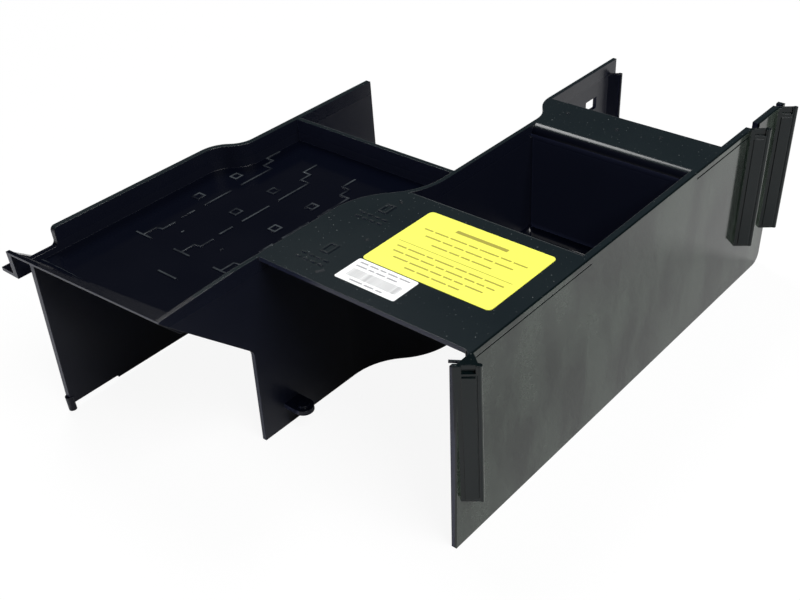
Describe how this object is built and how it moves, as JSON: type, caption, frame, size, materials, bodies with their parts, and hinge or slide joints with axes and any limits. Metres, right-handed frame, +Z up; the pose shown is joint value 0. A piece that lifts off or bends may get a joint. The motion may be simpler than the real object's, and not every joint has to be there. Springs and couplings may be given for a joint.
{
  "type": "server air baffle shroud",
  "caption": "One-piece moulded air baffle for a rack server: side walls, a flat roof with a deep pocket, a raised tray, curved dividers, a hook and sealing flaps.",
  "frame": {"origin": "middle of the footprint, on the surface that the part stands on", "axes": "+X along the long side wall from the tray's rim towards the outlet, +Y from the long side wall across to the far wall, +Z up"},
  "size_m": [0.2736, 0.2048, 0.0804],
  "materials": {
    "moulded_plastic": "satin black, glossier on the flat outer wall",
    "yellow_paper": "printed label, matt",
    "white_paper": "printed label, matt"
  },
  "bodies": {
    "root": {"baffle_body": "moulded_plastic", "yellow_label": "yellow_paper", "white_label": "white_paper"}
  },
  "joints": []
}
